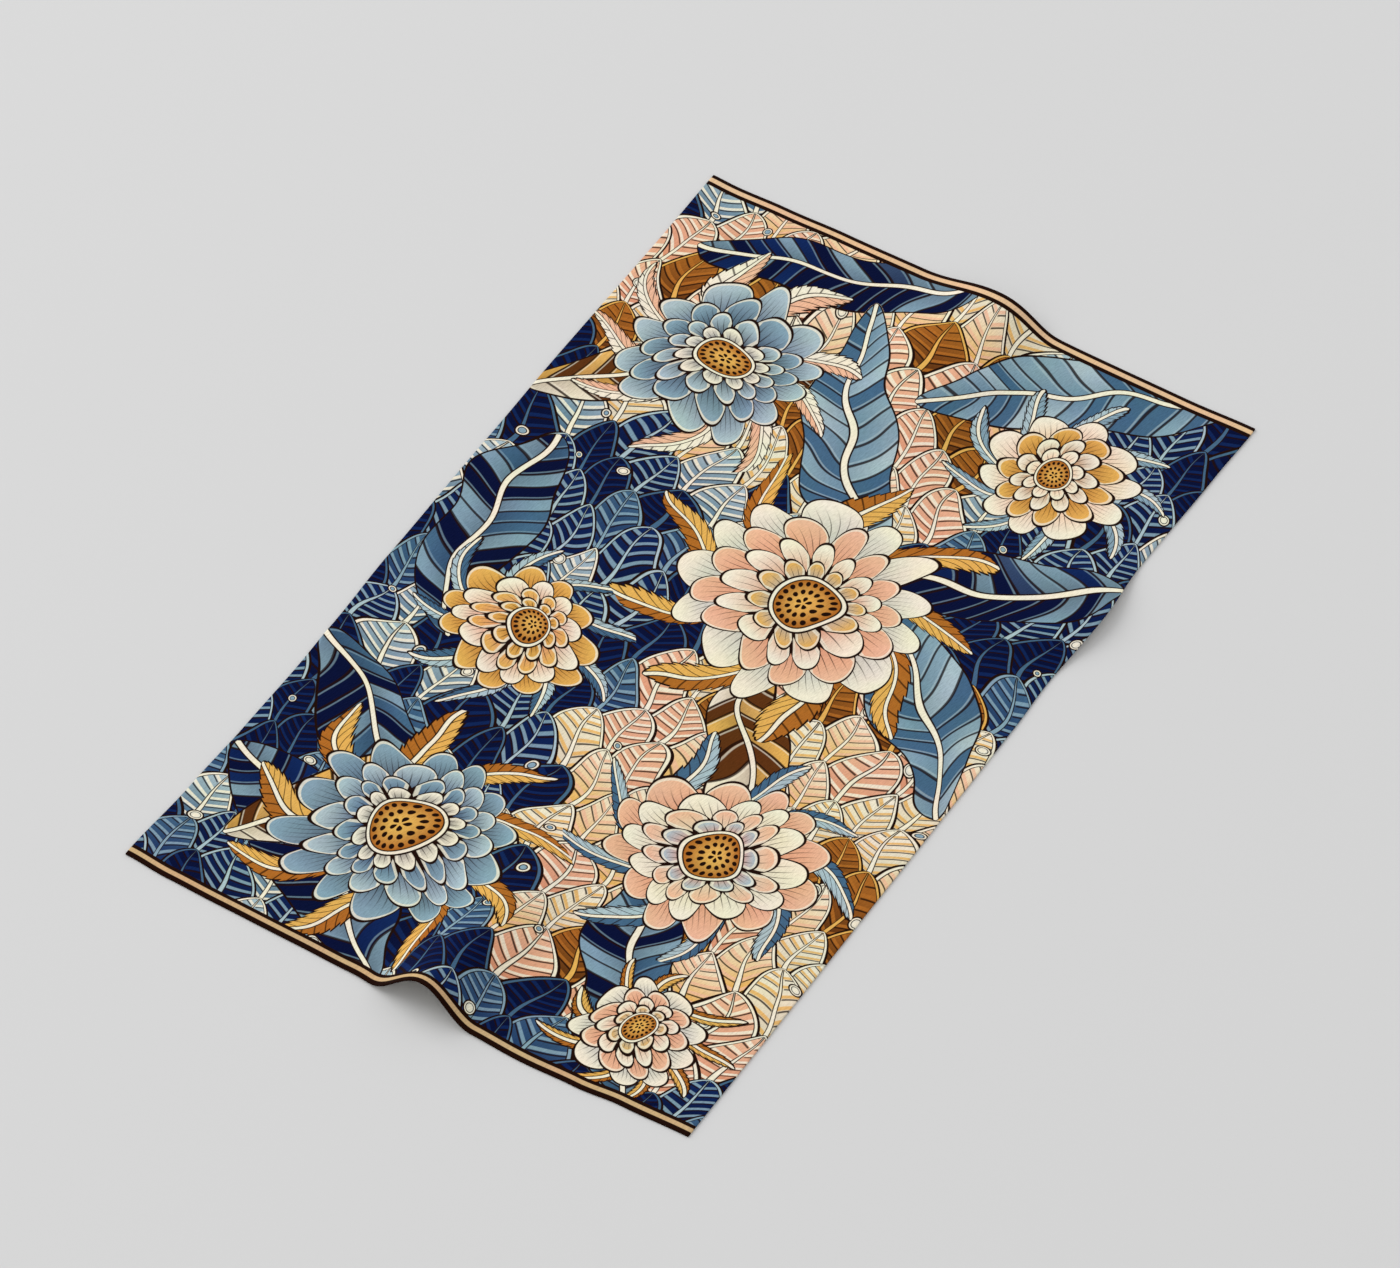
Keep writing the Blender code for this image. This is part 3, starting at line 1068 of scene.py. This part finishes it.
floor_shape = bmesh.new()
bmesh.ops.create_grid(floor_shape, x_segments=1, y_segments=1, size=FLOOR_SIZE / 2)
floor_mesh = bpy.data.meshes.new("floor")
floor_shape.to_mesh(floor_mesh)
floor_shape.free()
floor = bpy.data.objects.new("floor", floor_mesh)
bpy.context.scene.collection.objects.link(floor)
floor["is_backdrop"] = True
floor_coat = Finish(
    "pale_floor", Base_Color=(FLOOR_GREY,) * 3, Roughness=0.9, Specular_IOR_Level=0.2,
)
floor_mesh.materials.append(floor_coat.material)
print(f"floor: {FLOOR_SIZE:.0f} m square")

# %% The light
KEY_TURN = math.radians(178.0)     # where the key light stands round the towel, from +X
KEY_RISE = math.radians(34.0)
KEY_DISTANCE = 20.0                # metres
KEY_SIZE = 20.0                    # metres across
KEY_POWER = 2560.0                 # watts
ROUND_LIGHT = 0.83                 # strength of the even light from all round

key_place = KEY_DISTANCE * Vector((
    math.cos(KEY_RISE) * math.cos(KEY_TURN),
    math.cos(KEY_RISE) * math.sin(KEY_TURN),
    math.sin(KEY_RISE),
))
key_data = bpy.data.lights.new("key_light", "AREA")
key_data.shape = "DISK"
key_data.size = KEY_SIZE
key_data.energy = KEY_POWER
key = bpy.data.objects.new("key_light", key_data)
key.location = key_place
key.rotation_euler = (-key_place).to_track_quat("-Z", "Y").to_euler()
bpy.context.scene.collection.objects.link(key)

world = bpy.data.worlds.new("even_light")
world.use_nodes = True
world.node_tree.nodes["Background"].inputs["Color"].default_value = (1.0, 1.0, 1.0, 1.0)
world.node_tree.nodes["Background"].inputs["Strength"].default_value = ROUND_LIGHT
bpy.context.scene.world = world
bpy.context.scene.view_settings.view_transform = "Standard"
bpy.context.scene.view_settings.look = "None"
print("key light stands at", [round(value, 2) for value in key_place])

# %% The camera
LENS = 275.8                           # mm
SENSOR = 36.0                          # mm wide
CAMERA_DISTANCE = 14.592               # metres from the point that it looks at
CAMERA_RISE = math.radians(48.124)     # how high it stands over the floor
CAMERA_TURN = math.radians(28.453)     # how far round it stands, from the near end to the right
CAMERA_ROLL = math.radians(3.811)
LOOKS_AT = Vector((-0.0080, 0.0070, 0.0))

away = Vector((
    math.cos(CAMERA_RISE) * math.sin(CAMERA_TURN),
    -math.cos(CAMERA_RISE) * math.cos(CAMERA_TURN),
    math.sin(CAMERA_RISE),
))
level_right = (-away).cross(Vector((0.0, 0.0, 1.0))).normalized()
level_up = level_right.cross(-away)
right = level_right * math.cos(CAMERA_ROLL) + level_up * math.sin(CAMERA_ROLL)
up = level_up * math.cos(CAMERA_ROLL) - level_right * math.sin(CAMERA_ROLL)

lens = bpy.data.cameras.new("camera")
lens.lens = LENS
lens.sensor_width = SENSOR
lens.sensor_fit = "HORIZONTAL"
camera = bpy.data.objects.new("camera", lens)
camera.matrix_world = Matrix.Translation(LOOKS_AT + away * CAMERA_DISTANCE) @ Matrix(
    (right, up, away)
).transposed().to_4x4()
bpy.context.scene.collection.objects.link(camera)
bpy.context.scene.camera = camera
print("camera stands at", [round(value, 3) for value in camera.location])

# %% [markdown]
# ## The towel's size, and the end
# The dressed towel is measured once more, and the corners of its box are printed.

# %% Measure the dressed towel
dressed_box = [list(corner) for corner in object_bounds()]
for corner in dressed_box:
    print("corner of the dressed towel's box:", [round(value, 4) for value in corner])
